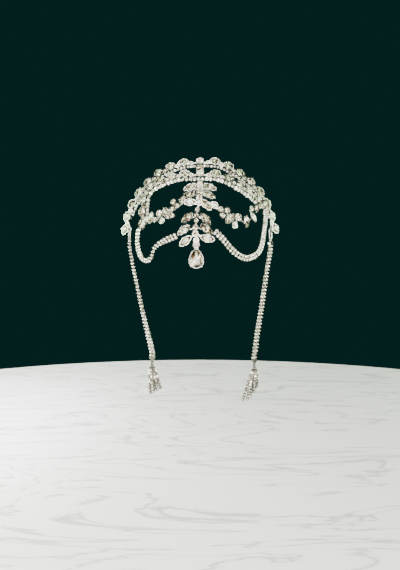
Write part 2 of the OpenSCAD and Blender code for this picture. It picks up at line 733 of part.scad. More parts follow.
back_arc_frame();
back_arc_stones();
back_arc_row();
front_arc_frame();
front_arc_stones();
front_arc_row();
crown_link_frame();
crown_link_stones();
spine_frame();
spine_rounds();
leaf_stone(1);  // leaf_stone_1
leaf_stone(2);  // leaf_stone_2
leaf_stone(3);  // leaf_stone_3
leaf_stone(4);  // leaf_stone_4
leaf_stone(5);  // leaf_stone_5
leaf_stone(6);  // leaf_stone_6
leaf_stone(7);  // leaf_stone_7
leaf_stone(8);  // leaf_stone_8
leaf_stone(9);  // leaf_stone_9
leaf_stone(10);  // leaf_stone_10
leaf_stone(11);  // leaf_stone_11
leaf_stone(12);  // leaf_stone_12
drop_yoke();
drop_setting();
drop_stone();
middle_swag_frame(middle_left_seats);  // middle_swag_left_frame
middle_swag_stones(middle_left_seats);  // middle_swag_left_stones
middle_swag_frame(middle_right_seats);  // middle_swag_right_frame
middle_swag_stones(middle_right_seats);  // middle_swag_right_stones
lower_swag(lower_left_path);  // lower_swag_left
lower_swag(lower_right_path);  // lower_swag_right
side_ring(side_left_path[0]);  // ring_left
side_ring(side_right_path[0]);  // ring_right
side_link(side_left_path[0]);  // link_left
side_link(side_right_path[0]);  // link_right
top_cap(side_left_path[0]);  // top_cap_left
top_cap(side_right_path[0]);  // top_cap_right
side_chain(side_left_path);  // side_chain_left
side_chain(side_right_path);  // side_chain_right
bottom_cap(side_left_path[last_row]);  // bottom_cap_left
bottom_cap(side_right_path[last_row]);  // bottom_cap_right
tassel_link(side_left_path[last_row]);  // tassel_link_left
tassel_link(side_right_path[last_row]);  // tassel_link_right
tassel(side_left_path[last_row], tassel_left_ends);  // tassel_left
tassel(side_right_path[last_row], tassel_right_ends);  // tassel_right
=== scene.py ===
"""Looks of a bridal headpiece: cut stones in silver settings, cup-chain swags and tassels.

Routes, cups, claws, strands and the pear are given in millimetres and scaled down where they are
made. The large stones are cut at a radius of 1 and scaled into their seats. The finished meshes and
the other sizes are in metres.
"""
import math
import random

import bmesh
import bpy
from mathutils import Matrix, Vector


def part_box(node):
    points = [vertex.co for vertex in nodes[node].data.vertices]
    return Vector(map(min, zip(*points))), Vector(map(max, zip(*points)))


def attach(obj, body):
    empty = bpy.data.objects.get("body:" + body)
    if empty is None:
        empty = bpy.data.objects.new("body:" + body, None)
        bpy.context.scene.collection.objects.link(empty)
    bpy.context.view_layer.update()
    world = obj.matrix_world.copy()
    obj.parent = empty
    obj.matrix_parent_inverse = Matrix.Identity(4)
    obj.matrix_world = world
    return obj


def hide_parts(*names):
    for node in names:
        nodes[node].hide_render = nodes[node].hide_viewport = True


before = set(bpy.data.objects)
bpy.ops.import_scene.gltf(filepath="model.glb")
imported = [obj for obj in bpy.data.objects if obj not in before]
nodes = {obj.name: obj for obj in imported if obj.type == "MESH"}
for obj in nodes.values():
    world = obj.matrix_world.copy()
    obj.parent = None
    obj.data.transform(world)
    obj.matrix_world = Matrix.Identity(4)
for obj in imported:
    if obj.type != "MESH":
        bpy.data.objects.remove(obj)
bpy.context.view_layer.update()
rng = random.Random(20)


# The cast frames: open cups on soldered wires, under every large stone. They are one silver-plated
# casting each, polished by tumbling. Their silver is patchy at random between a brighter and a
# greyer tone. Both tones are kept dark as painted shade, standing in for the dark surroundings that
# the metal reflects in the gaps between the stones.
NOISE_MIDDLE = (0.35, 0.65)
WEAR_GRAIN = 420
GLOSS_GRAIN = 1500
DIMPLE_GRAIN = 2600
DIMPLE_DEPTH = 0.00004
DIMPLE_STRENGTH = 0.5


def new_material(name):
    material = bpy.data.materials.new(name)
    material.use_nodes = True
    return material, material.node_tree, material.node_tree.nodes["Principled BSDF"]


def grain(tree, scale, detail=3.0):
    """Cloudy noise on the object's own coordinates; a scale of 1000 has clouds of a millimetre."""
    place = tree.nodes.new("ShaderNodeTexCoord")
    noise = tree.nodes.new("ShaderNodeTexNoise")
    noise.inputs["Scale"].default_value = scale
    noise.inputs["Detail"].default_value = detail
    tree.links.new(place.outputs["Object"], noise.inputs["Vector"])
    return noise.outputs["Fac"]


def spread(tree, source, low, high):
    """A number between low and high that follows the middle of a noise."""
    reach = tree.nodes.new("ShaderNodeMapRange")
    reach.inputs["From Min"].default_value, reach.inputs["From Max"].default_value = NOISE_MIDDLE
    reach.inputs["To Min"].default_value = low
    reach.inputs["To Max"].default_value = high
    tree.links.new(source, reach.inputs["Value"])
    return reach.outputs["Result"]


def shades(tree, source, *colours):
    """A colour ramp from the first colour to the last, evenly spaced."""
    ramp = tree.nodes.new("ShaderNodeValToRGB")
    points = ramp.color_ramp.elements
    while len(points) < len(colours):
        points.new(0.5)
    for number, colour in enumerate(colours):
        points[number].position = number / (len(colours) - 1)
        points[number].color = (*colour, 1)
    tree.links.new(source, ramp.inputs["Fac"])
    return ramp.outputs["Color"]


def dimples(tree, shader):
    """The shallow relief that casting and tumbling leave on the metal."""
    bump = tree.nodes.new("ShaderNodeBump")
    bump.inputs["Strength"].default_value = DIMPLE_STRENGTH
    bump.inputs["Distance"].default_value = DIMPLE_DEPTH
    tree.links.new(grain(tree, DIMPLE_GRAIN, 2.0), bump.inputs["Height"])
    tree.links.new(bump.outputs["Normal"], shader.inputs["Normal"])


def silver_plate(name, bright, worn, smooth, rough):
    """Silver-coloured plating between two colours and two roughnesses."""
    material, tree, shader = new_material(name)
    shader.inputs["Metallic"].default_value = 1.0
    wear = spread(tree, grain(tree, WEAR_GRAIN), 0, 1)
    tree.links.new(shades(tree, wear, worn, bright, bright), shader.inputs["Base Color"])
    gloss = spread(tree, grain(tree, GLOSS_GRAIN), smooth, rough)
    tree.links.new(gloss, shader.inputs["Roughness"])
    dimples(tree, shader)
    return material


# Painted shade: both tones of the frames' silver are kept dark, for the dark gaps between the
# stones.
cast_silver = silver_plate("cast_silver", (0.60, 0.58, 0.53), (0.18, 0.16, 0.13), 0.10, 0.26)

for frame_name in ("back_arc_frame", "front_arc_frame", "crown_link_frame", "spine_frame",
                   "middle_swag_left_frame", "middle_swag_right_frame"):
    nodes[frame_name].data.materials[0] = cast_silver


# The large stones of the two arcs and the pair between them: machine-cut glass chatons and
# marquises, clear above the girdle and mirrored with foil below it, set into the cups.
GIRDLE_CORNERS = 16
HALF_GIRDLE = 0.02
TABLE_HEIGHT = 0.4
BASE_DEPTH = 0.72
TABLE_RADIUS = 0.58
UPPER_APEX = 1.3
LOWER_APEX = 0.76
SAME_CORNER = 0.002


def grind(point, away):
    """Takes off all that lies beyond a plane, and closes the stone there with a flat facet."""
    bpy.ops.mesh.select_all(action="SELECT")
    bpy.ops.mesh.bisect(
        plane_co=point, plane_no=away.normalized(), use_fill=True, clear_outer=True)


def ring_of_facets(count, first_turn, radius, height, rise):
    """Grinds equal facets round the stone, each falling by rise over a radius at that height."""
    for number in range(count):
        turn = first_turn + math.tau * number / count
        side = Vector((math.cos(turn), math.sin(turn), 0))
        slope = Vector((0, 0, radius / rise))
        grind(side * radius + Vector((0, 0, height)), side + slope)


def brilliant(name):
    """A round stone of radius 1: a table, 8 stars, 8 kites and 16 halves above the girdle, and
    8 mains and 16 halves below it."""
    step = math.tau / GIRDLE_CORNERS
    bpy.ops.mesh.primitive_cylinder_add(
        vertices=GIRDLE_CORNERS, radius=1, depth=TABLE_HEIGHT + BASE_DEPTH,
        location=(0, 0, (TABLE_HEIGHT - BASE_DEPTH) / 2))
    stone = bpy.context.object
    stone.name = name
    bpy.ops.object.mode_set(mode="EDIT")
    kite_apex = (TABLE_HEIGHT - HALF_GIRDLE) / (1 - TABLE_RADIUS)
    ring_of_facets(16, step / 2, math.cos(step / 2), HALF_GIRDLE, UPPER_APEX)
    ring_of_facets(8, 0, 1, HALF_GIRDLE, kite_apex)
    corner = math.cos(step)
    join_height = (1 / corner - 1) / (1 / (corner * kite_apex) - 1 / UPPER_APEX)
    join_radius = 1 - join_height / UPPER_APEX
    edge = TABLE_RADIUS * corner
    fall = (TABLE_HEIGHT - HALF_GIRDLE - join_height) / (join_radius - edge)
    ring_of_facets(8, step, edge, TABLE_HEIGHT, edge * fall)
    ring_of_facets(16, step / 2, math.cos(step / 2), -HALF_GIRDLE, -LOWER_APEX)
    ring_of_facets(8, 0, 1, -HALF_GIRDLE, -(BASE_DEPTH - HALF_GIRDLE))
    bpy.ops.mesh.select_all(action="SELECT")
    bpy.ops.mesh.remove_doubles(threshold=SAME_CORNER)
    bpy.ops.mesh.normals_make_consistent(inside=False)
    bpy.ops.object.mode_set(mode="OBJECT")
    return stone


def copy_of(model, place=Matrix.Identity(4)):
    """A copy of a model with a mesh of its own, put at its place."""
    mesh = model.data.copy()
    mesh.transform(place)
    made = bpy.data.objects.new(model.name, mesh)
    bpy.context.scene.collection.objects.link(made)
    return made


TIP_DRAW = 0.6
POLISH_GRAIN = 900
GLASS_IOR = 1.56


def marquise_plan(corner):
    """A round stone's corner in the plan of a stone with two pointed ends."""
    radius = math.hypot(corner.x, corner.y) or 1
    return Vector((corner.x, corner.y * (abs(corner.y) / radius) ** TIP_DRAW, corner.z))


def recut(stone, name, plan):
    """A copy of a round stone, ground to another plan."""
    made = copy_of(stone)
    made.name = name
    for vertex in made.data.vertices:
        vertex.co = plan(vertex.co)
    return made


def cut_glass_finish():
    """Clear glass, each stone with a tint of its own."""
    material, tree, shader = new_material("cut_glass")
    tint = tree.nodes.new("ShaderNodeAttribute")
    tint.attribute_name = "tint"
    clear, cream, cool = (0.99, 0.98, 0.92), (0.97, 0.93, 0.80), (0.74, 0.96, 0.69)
    tree.links.new(shades(tree, tint.outputs["Fac"], cool, clear, clear, cream),
                   shader.inputs["Base Color"])
    tree.links.new(spread(tree, grain(tree, POLISH_GRAIN), 0.01, 0.05), shader.inputs["Roughness"])
    shader.inputs["Transmission Weight"].default_value = 1.0
    shader.inputs["IOR"].default_value = GLASS_IOR
    return material


cut_glass = cut_glass_finish()


def foil_finish():
    """Mirror foil under the stones: most facets bright, some dark grey or brown as painted
    reflections of the dark surroundings that a cut stone's facets show.
    """
    material, tree, shader = new_material("foil_back")
    facet = tree.nodes.new("ShaderNodeAttribute")
    facet.attribute_name = "facet"
    dark_reflection, brown = (0.09, 0.09, 0.08), (0.30, 0.20, 0.12)
    bright, cream = (0.98, 0.97, 0.92), (0.98, 0.92, 0.78)
    shader.inputs["Metallic"].default_value = 1.0
    tree.links.new(shades(tree, facet.outputs["Fac"], dark_reflection, brown, bright, cream, bright),
                   shader.inputs["Base Color"])
    tree.links.new(spread(tree, grain(tree, GLOSS_GRAIN), 0.04, 0.14), shader.inputs["Roughness"])
    return material


foil_back = foil_finish()


def mirror_back(stone):
    """Glass above the stone's girdle and foil on the facets below it."""
    stone.data.materials.clear()
    stone.data.materials.append(cut_glass)
    stone.data.materials.append(foil_back)
    for face in stone.data.polygons:
        face.material_index = 1 if face.center.z < -HALF_GIRDLE else 0


chaton = brilliant("chaton")
chaton.data.transform(chaton.matrix_world)
chaton.matrix_world = Matrix.Identity(4)
marquise = recut(chaton, "marquise", marquise_plan)
for model in (chaton, marquise):
    mirror_back(model)


# The shares of facets whose foil is painted dark grey or brown, as painted reflections of the dark
# surroundings, and the facet values of the dark and the bright foil.
DARK_REFLECTION_SHARE = 0.18
CREAM_SHADES = (0.3, 1)
KEEL_SHARE = 0.75
KEEL_SLOPE = 0.18
DARK_REFLECTION_FOIL = (0, 0.3)
BRIGHT_FOIL = (0.5, 1)


def keel_of(model):
    """The long facets under the middle of a pointed stone, where the foil is painted darkest: a
    painted reflection of the dark surroundings in the stone's table.
    """
    return {face.index for face in model.data.polygons
            if face.center.z < -HALF_GIRDLE
            and abs(face.center.y) < KEEL_SLOPE * abs(face.center.x)}


def give_tint(stone, keel=(), painted_dark_share=DARK_REFLECTION_SHARE, tints=CREAM_SHADES):
    """The stone's own shade, from cool through clear to cream, and a shade for each facet's foil:
    dark grey or brown as a painted dark reflection on a share of its facets and on most of the
    keel, bright on the others."""
    count = len(stone.data.polygons)
    tint = stone.data.attributes.new("tint", "FLOAT", "FACE")
    tint.data.foreach_set("value", [rng.uniform(*tints)] * count)
    foils = []
    for number in range(count):
        dark_reflection = rng.random() < (KEEL_SHARE if number in keel else painted_dark_share)
        foils.append(rng.uniform(*DARK_REFLECTION_FOIL) if dark_reflection else rng.uniform(*BRIGHT_FOIL))
    facet = stone.data.attributes.new("facet", "FLOAT", "FACE")
    facet.data.foreach_set("value", foils)


marquise_keel = keel_of(marquise)


def pick(*objects):
    """Selects these objects alone, and makes the first of them active."""
    bpy.ops.object.select_all(action="DESELECT")
    for picked in objects:
        picked.select_set(True)
    bpy.context.view_layer.objects.active = objects[0]


def one_piece(parts, name):
    """Joins some objects into one of that name."""
    pick(*parts)
    bpy.ops.object.join()
    made = bpy.context.object
    made.name = name
    made.data.name = name
    return made


def away_with(*things):
    """Removes objects that were only measured or copied."""
    for thing in things:
        bpy.data.objects.remove(thing)


SAME_PLACE = 1e-6
SAME_WAY = 0.9999
GIRDLE_BAND = (0.1, 0.9)
POINTED_RATIO = 1.3


def stone_axis(mesh):
    """The way that the table faces: most of a stone's triangles lie in its table."""
    def in_line(face):
        return sum(1 for other in mesh.polygons if other.normal.dot(face.normal) > SAME_WAY)
    return max(mesh.polygons, key=in_line).normal.copy()


def seat_of(mesh):
    """Where a stone sits: its girdle's middle, with X along it and Z out of its table, and its
    length and width."""
    out = stone_axis(mesh)
    heights = [vertex.co.dot(out) for vertex in mesh.vertices]
    reach = max(heights) - min(heights)
    low, high = (share * reach for share in GIRDLE_BAND)
    girdle = [vertex.co for vertex, height in zip(mesh.vertices, heights)
              if low < height - min(heights) < high]
    middle = sum(girdle, Vector()) / len(girdle)
    tip = max(girdle, key=lambda corner: (corner - middle).length) - middle
    along = tip.normalized()
    across = out.cross(along)
    wide = 2 * max(abs((corner - middle).dot(across)) for corner in girdle)
    place = Matrix((along, across, out)).transposed().to_4x4()
    place.translation = middle
    return place, 2 * tip.length, wide


def seats_in(node_name):
    """The seats of all stones in a node, from the loose parts of a merged copy of it."""
    whole = bpy.data.objects.new("loose", nodes[node_name].data.copy())
    bpy.context.scene.collection.objects.link(whole)
    pick(whole)
    bpy.ops.object.mode_set(mode="EDIT")
    bpy.ops.mesh.select_all(action="SELECT")
    bpy.ops.mesh.remove_doubles(threshold=SAME_PLACE)
    bpy.ops.mesh.separate(type="LOOSE")
    bpy.ops.object.mode_set(mode="OBJECT")
    parts = list(bpy.context.selected_objects)
    seats = [seat_of(part.data) for part in parts]
    away_with(*parts)
    return seats


def is_pointed(long, wide):
    """Whether a seat is for a marquise or leaf, and not for a round stone."""
    return long > POINTED_RATIO * wide


def set_stones(name, node_name, painted_dark_share=DARK_REFLECTION_SHARE, tints=CREAM_SHADES):
    """Cut stones in all the seats of a node, as one piece that stands for it."""
    stones = []
    for place, long, wide in seats_in(node_name):
        size = Matrix.Diagonal((long / 2, wide / 2, wide / 2, 1))
        pointed = is_pointed(long, wide)
        stones.append(copy_of(marquise if pointed else chaton, place @ size))
        give_tint(stones[-1], marquise_keel if pointed else (), painted_dark_share, tints)
    piece = one_piece(stones, name)
    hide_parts(node_name)
    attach(piece, "headpiece")


set_stones("back_arc_cut_stones", "back_arc_stones", tints=(0, 0.4))
set_stones("front_arc_cut_stones", "front_arc_stones", tints=(0, 0.6))
set_stones("crown_link_cut_stones", "crown_link_stones", painted_dark_share=0.45)


# The claws of those settings: short tapered fingers, cast with the cups and pressed over each
# stone's edge, in a greyer silver than the cups. A round stone has four claws, a pointed one six,
# two of them at its tips.
claw_silver = silver_plate("claw_silver", (0.38, 0.36, 0.32), (0.08, 0.07, 0.06), 0.12, 0.28)
FACING = 0.9
SORTING_WAY = Vector((1, 6, 9))
CLAW_RADIUS = 0.34
CLAW_STEM = 1.1
CLAW_MIDDLE = (0.26, 0, -0.75)
CLAW_BENDS = (((-0.06, 0, 0.50), 25, 0.95), ((-0.40, 0, 0.40), 30, 0.88),
              ((-0.18, 0, 0.03), 0, 0.5))


def claw_model():
    """One claw in millimetres: X away from the stone, the stone's edge at the origin."""
    bpy.ops.mesh.primitive_cylinder_add(
        vertices=6, radius=CLAW_RADIUS, depth=CLAW_STEM, location=CLAW_MIDDLE)
    claw = bpy.context.object
    claw.name = "claw"
    bpy.ops.object.transform_apply(location=True)
    bpy.ops.object.mode_set(mode="EDIT")
    bpy.ops.mesh.select_mode(type="FACE")
    select_faces(claw, lambda face: face.normal.z > FACING)
    for step, lean, size in CLAW_BENDS:
        bpy.ops.mesh.extrude_region_move(TRANSFORM_OT_translate={"value": step})
        middle = selected_middle(claw)
        bpy.ops.transform.rotate(value=math.radians(lean), orient_axis="Y", center_override=middle)
        bpy.ops.transform.resize(value=(size, size, size), center_override=middle)
    sort_quads(claw)
    bpy.ops.object.mode_set(mode="OBJECT")
    claw.data.materials.append(claw_silver)
    return claw


def select_faces(thing, chosen):
    """Selects, in edit mode, the faces that a test chooses."""
    shape = bmesh.from_edit_mesh(thing.data)
    for face in shape.faces:
        face.select_set(chosen(face))
    shape.select_flush(True)
    bmesh.update_edit_mesh(thing.data)


def selected_middle(thing):
    """The middle of the corners that are selected in edit mode."""
    shape = bmesh.from_edit_mesh(thing.data)
    corners = [vertex.co for vertex in shape.verts if vertex.select]
    return sum(corners, Vector()) / len(corners)


def sort_quads(thing):
    """Gives the four-sided faces one order, in edit mode, within the places that they hold. An
    extrusion adds its sides in an order that changes from run to run, and shades go by it."""
    shape = bmesh.from_edit_mesh(thing.data)
    shape.faces.index_update()
    quads = [face for face in shape.faces if len(face.verts) == 4]
    in_order = sorted(quads, key=lambda face: face.calc_center_median().dot(SORTING_WAY))
    places = {face: quad.index for face, quad in zip(in_order, quads)}
    shape.faces.sort(key=lambda face: places.get(face, face.index))
    bmesh.update_edit_mesh(thing.data)


ROUND_CLAWS = (45, 135, 225, 315)
POINTED_CLAWS = (0, 62, 118, 180, 242, 298)
AT_TIP = 0.1
FULL_CLAW_WIDTH = 0.0062


def claw_places(long, wide):
    """Where the claws stand round a stone, in its own plan, and which way each faces."""
    pointed = is_pointed(long, wide)
    for turn in (math.radians(degrees) for degrees in (POINTED_CLAWS if pointed else ROUND_CLAWS)):
        edge = Vector((math.cos(turn), math.sin(turn), 0))
        if pointed:
            facing = turn if abs(edge.y) < AT_TIP else math.copysign(math.pi / 2, edge.y)
            edge = marquise_plan(edge)
        else:
            facing = turn
        yield Vector((edge.x * long / 2, edge.y * wide / 2, 0)), facing


claw = claw_model()


def press_claws(name, *node_names, reach=1):
    """Claws round all the stones of some nodes, smaller on the narrowest, as one piece."""
    claws = []
    for node_name in node_names:
        for place, long, wide in seats_in(node_name):
            size = Matrix.Scale(min(1, wide / FULL_CLAW_WIDTH) / 1000, 4)
            for edge, facing in claw_places(long, wide):
                stand = Matrix.Translation(edge * reach) @ Matrix.Rotation(facing, 4, "Z")
                claws.append(copy_of(claw, place @ stand @ size))
    piece = one_piece(claws, name)
    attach(piece, "headpiece")


ARC_CLAW_REACH = 0.91
press_claws("back_arc_claws", "back_arc_stones", reach=ARC_CLAW_REACH)
press_claws("front_arc_claws", "front_arc_stones", reach=ARC_CLAW_REACH)
press_claws("crown_link_claws", "crown_link_stones")


# The rows of small stones under the arcs: cup-chain, a string of pressed cups on a thin band, each
# with four claws over a little foiled stone, soldered to the arcs' bars. It is fine on the back arc
# and coarser on the front one.
chain_silver = silver_plate("chain_silver", (0.74, 0.72, 0.66), (0.30, 0.27, 0.23), 0.12, 0.30)
# Painted shade: the band under every cup-chain is a dark silver, standing in for the shadowed gaps
# between the cups.
band_silver_painted_shade = silver_plate("band_silver_painted_shade", (0.30, 0.28, 0.25), (0.12, 0.11, 0.09), 0.16, 0.34)


def small_glass_finish(name, bright, cream, smooth, rough):
    """The glass of a little stone over its foil, with a shade on each facet: bright on most, dark
    grey or brown on some as painted reflections of the dark surroundings.
    """
    material, tree, shader = new_material(name)
    facet = tree.nodes.new("ShaderNodeAttribute")
    facet.attribute_name = "facet"
    dark_reflection, brown = (0.12, 0.115, 0.10), (0.36, 0.30, 0.22)
    tree.links.new(shades(tree, facet.outputs["Fac"], dark_reflection, brown, bright, cream, bright),
                   shader.inputs["Base Color"])
    gloss = spread(tree, grain(tree, GLOSS_GRAIN), smooth, rough)
    tree.links.new(gloss, shader.inputs["Roughness"])
    shader.inputs["Metallic"].default_value = 0.9
    shader.inputs["Coat Weight"].default_value = 0.6
    shader.inputs["Coat Roughness"].default_value = 0.14
    return material


small_glass = small_glass_finish("small_glass", (0.97, 0.96, 0.89), (0.95, 0.90, 0.76), 0.22, 0.36)
RIM_SHARE = 0.04
CUP_CLAW_LEAN = 38
CUP_CLAW_TALL = 0.3
CUP_CLAW_LIFT = 0.12
CUP_CLAW_THICK = 0.10
CUP_CLAW_TIP = 0.04
BAND_SUNK = 0.24
BAND_THICK = 0.3
GIRDLE_LIFT = 0.1
SMALL_BASE_SHARE = 0.45


def small_cup(name, width, length, height, pitch, metal=chain_silver, glass=small_glass,
              foot=(0.45, 0.45), edge=0.08, band_share=0.16):
    """One cup of cup-chain with its stone, in millimetres: X along the chain and Z out of it. It
    narrows to a foot, so that gaps open between the cups behind the stones."""
    rim, table = RIM_SHARE * height, height / 2
    bpy.ops.mesh.primitive_cylinder_add(
        vertices=8, radius=0.5 / math.cos(math.pi / 8), depth=rim + height / 2,
        location=(0, 0, (rim - height / 2) / 2), rotation=(0, 0, math.pi / 8))
    cup = bpy.context.object
    bpy.ops.object.transform_apply()
    bpy.ops.object.mode_set(mode="EDIT")
    bpy.ops.mesh.select_mode(type="FACE")
    bpy.ops.mesh.select_all(action="SELECT")
    bpy.ops.transform.resize(value=(length, width, 1), center_override=(0, 0, 0))
    select_faces(cup, lambda face: face.normal.z < -FACING)
    bpy.ops.transform.resize(value=(*foot, 1), center_override=(0, 0, -height / 2))
    bpy.ops.object.mode_set(mode="OBJECT")
    parts = [cup]
    for turn in (45, 135, 225, 315):
        side = Matrix.Rotation(math.radians(turn), 3, "Z") @ Vector((1, 0, 0))
        side = Vector((side.x * length, side.y * width, 0)) / 2
        bpy.ops.mesh.primitive_cone_add(
            vertices=3, radius1=CUP_CLAW_THICK * width, radius2=CUP_CLAW_TIP * width,
            depth=CUP_CLAW_TALL * height,
            location=side + Vector((0, 0, rim + CUP_CLAW_LIFT * height)),
            rotation=(0, -math.radians(CUP_CLAW_LEAN), math.radians(turn)))
        bpy.ops.object.transform_apply()
        parts.append(bpy.context.object)
    bpy.ops.mesh.primitive_cube_add(size=1, location=(pitch / 2, 0, -BAND_SUNK * height))
    band = bpy.context.object
    band.dimensions = (pitch - foot[0] * length, band_share * width, BAND_THICK)
    pick(band)
    bpy.ops.object.transform_apply(location=True, rotation=True, scale=True)
    for part in parts:
        part.data.materials.clear()
        part.data.materials.append(metal)
    band.data.materials.append(band_silver_painted_shade)
    parts.append(band)
    stone = small_stone(length / 2 - edge, rim + GIRDLE_LIFT, table, width, glass)
    stone.data.transform(Matrix.Diagonal((1, (width - 2 * edge) / (length - 2 * edge), 1, 1)))
    made = one_piece([*parts, stone], name)
    made.data.transform(Matrix.Scale(0.001, 4))
    return made


def small_stone(radius, girdle, table, width, glass):
    """The little stone of a cup: a cone below its girdle and a table with eight facets above it."""
    base = SMALL_BASE_SHARE * width
    bpy.ops.mesh.primitive_cone_add(
        vertices=8, radius1=0, radius2=radius, depth=base, location=(0, 0, girdle - base / 2))
    stone = bpy.context.object
    bpy.ops.object.transform_apply()
    bpy.ops.object.mode_set(mode="EDIT")
    bpy.ops.mesh.select_mode(type="FACE")
    select_faces(stone, lambda face: face.normal.z > FACING)
    bpy.ops.mesh.extrude_region_move(TRANSFORM_OT_translate={"value": (0, 0, table - girdle)})
    bpy.ops.transform.resize(value=(TABLE_RADIUS, TABLE_RADIUS, 1), center_override=(0, 0, table))
    sort_quads(stone)
    bpy.ops.object.mode_set(mode="OBJECT")
    stone.data.materials.clear()
    stone.data.materials.append(glass)
    return stone


CURVE_STEPS = 6


def curve_point(a, b, c, d, share):
    """A point between b and c on the smooth curve through a, b, c and d."""
    return 0.5 * (2 * b + (c - a) * share + (2 * a - 5 * b + 4 * c - d) * share ** 2
                  + (3 * b - a - 3 * c + d) * share ** 3)


def smooth_line(rows):
    """A smooth curve through the rows of a route, whatever columns the rows have."""
    rows = [Vector(row) for row in rows]
    line = []
    for number in range(len(rows) - 1):
        a, d = rows[max(number - 1, 0)], rows[min(number + 2, len(rows) - 1)]
        line += [curve_point(a, rows[number], rows[number + 1], d, step / CURVE_STEPS)
                 for step in range(CURVE_STEPS)]
    return line + [rows[-1]]


HOLLOW_HALF = Vector((77, 96, 105))


def outward(point, lean):
    """The way out of the hollow under the piece at a point, leaned towards the front."""
    out = Vector((point.x / HOLLOW_HALF.x ** 2, point.y / HOLLOW_HALF.y ** 2,
                  (point.z + HOLLOW_HALF.z) / HOLLOW_HALF.z ** 2)).normalized()
    return (out - Vector((0, lean, 0))).normalized()


def cross_frame(line, outs, number):
    """The run, the width and the face of a flat chain at a point of its line."""
    last = len(line) - 1
    along = (line[min(number + 1, last)] - line[max(number - 1, 0)]).normalized()
    across = outs[number].cross(along).normalized()
    return along, across, along.cross(across)


def cup_places(line, outs, pitch, aside=0, sunk=0):
    """Evenly spaced places for cups along a line, in metres, set aside and sunk from it."""
    points = []
    for number, point in enumerate(line):
        along, across, out = cross_frame(line, outs, number)
        points.append(point + across * aside - out * sunk)
    runs = [0]
    for before, after in zip(points, points[1:]):
        runs.append(runs[-1] + (after - before).length)
    count = round(runs[-1] / pitch)
    for cup in range(count):
        run = (cup + 0.5) * runs[-1] / count
        number = max(k for k, passed in enumerate(runs[:-1]) if passed <= run)
        share = (run - runs[number]) / (runs[number + 1] - runs[number])
        along, across, out = cross_frame(line, outs, number)
        place = Matrix((along, across, out)).transposed().to_4x4()
        place.translation = points[number].lerp(points[number + 1], share) / 1000
        yield place


def loose(turn):
    """A small random turn of a cup on its chain, in degrees each way."""
    return (Matrix.Rotation(math.radians(rng.uniform(-turn, turn)), 4, "X")
            @ Matrix.Rotation(math.radians(rng.uniform(-turn, turn)), 4, "Y"))


def cup_chain(name, cup, places, node_name, play=5, painted_dark_share=DARK_REFLECTION_SHARE):
    """Cups in a row or rows, as one piece that stands for a node."""
    cups = []
    for place in places:
        cups.append(copy_of(cup, place @ loose(play)))
        give_tint(cups[-1], painted_dark_share=painted_dark_share)
    piece = one_piece(cups, name)
    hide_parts(node_name)
    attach(piece, "headpiece")
    return piece


BACK_PITCH = 4.0
FRONT_PITCH = 4.6
BACK_ASIDE = -3.2
FRONT_ASIDE = -3.4
ROW_SUNK = 1.6
ARC_LEAN = 2
back_arc_route = [
    (-88, -4, -67), (-84.5, -6, -50), (-78.5, -8, -37), (-66.5, -11, -20), (-46.5, -15, -1.5),
    (-24, -17, 8), (0, -18, 11), (24, -17, 9), (47, -15, -3), (64.5, -12, -18), (75.5, -9, -32),
    (82.8, -6, -50), (89.2, -4, -70)]
front_arc_route = [
    (-63, -43, -67), (-65, -37, -54), (-65, -31, -44), (-65, -26, -35), (-63, -22, -26),
    (-58, -22, -19), (-48, -28, -13), (-34, -36, -8), (-17, -40, -5), (0, -42, -5), (17, -40, -5),
    (31, -38, -9), (46, -33, -17), (59, -25, -25), (69, -18.3, -33), (75, -16, -42)]
back_row_cup = small_cup("back_row_cup", 3.1, 2.9, 3.0, BACK_PITCH)
front_row_cup = small_cup("front_row_cup", 4.3, 3.7, 3.2, FRONT_PITCH, edge=0.2)


def arc_row(name, cup, pitch, aside, route, node_name):
    """A row of cups along an arc, short of the arc's ends."""
    line = smooth_line(route[1:-1])
    outs = [outward(point, ARC_LEAN) for point in line]
    places = cup_places(line, outs, pitch, aside=aside, sunk=ROW_SUNK)
    cup_chain(name, cup, places, node_name, play=20, painted_dark_share=0.3)


arc_row("back_arc_cup_chain", back_row_cup, BACK_PITCH, BACK_ASIDE, back_arc_route,
        "back_arc_row")
arc_row("front_arc_cup_chain", front_row_cup, FRONT_PITCH, FRONT_ASIDE, front_arc_route,
        "front_arc_row")


# The centre spine in front: twelve round stones on its stem and twelve leaf-shaped stones in
# pairs, all cut and foiled as the arcs' stones are, and held by the same claws.
set_stones("spine_cut_rounds", "spine_rounds", painted_dark_share=0.32)
LEAVES = range(1, 13)
for number in LEAVES:
    set_stones(f"leaf_cut_stone_{number}", f"leaf_stone_{number}", painted_dark_share=0.34)
press_claws("spine_claws", "spine_rounds", *(f"leaf_stone_{number}" for number in LEAVES))


# The two middle swags: loose sprays of round and marquise stones from the spine to the front arc,
# set in the same open cups.
for side in ("left", "right"):
    set_stones(f"middle_swag_{side}_cut_stones", f"middle_swag_{side}_stones")
    press_claws(f"middle_swag_{side}_claws", f"middle_swag_{side}_stones")


